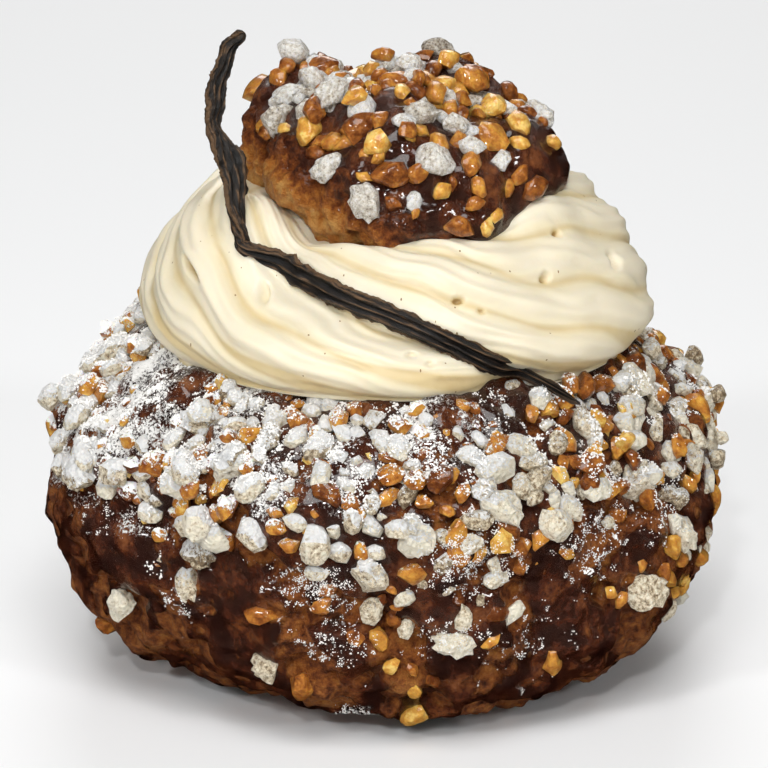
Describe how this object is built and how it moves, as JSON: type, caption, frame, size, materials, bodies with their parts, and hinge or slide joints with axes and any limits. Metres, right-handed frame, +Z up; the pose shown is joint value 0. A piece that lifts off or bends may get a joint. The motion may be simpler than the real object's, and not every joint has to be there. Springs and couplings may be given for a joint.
{
  "type": "filled chouquette",
  "caption": "Large choux bun glazed with caramel under pearl sugar and chopped nuts, topped with a piped cream swirl, a small choux cap and a strip of vanilla pod.",
  "frame": {"origin": "centre of the bun's flat underside, where it rests", "axes": "+Z up, -Y towards the front, where the vanilla pod lies across the cream, +X to the right as seen from the front"},
  "size_m": [0.0747, 0.0758, 0.0712],
  "materials": {
    "glazed_choux": "dark caramel glaze over baked choux crust",
    "cream": "soft satin whipped vanilla cream",
    "vanilla_pod": "wrinkled, slightly oily split pod",
    "pearl_sugar": "rough white compressed sugar grains",
    "chopped_nuts": "roasted, glazed chopped nuts",
    "icing_sugar": "fine dry powder"
  },
  "bodies": {
    "root": {"base_choux": "glazed_choux", "cap_choux": "glazed_choux", "cream": "cream", "vanilla_pod": "vanilla_pod"}
  },
  "joints": []
}
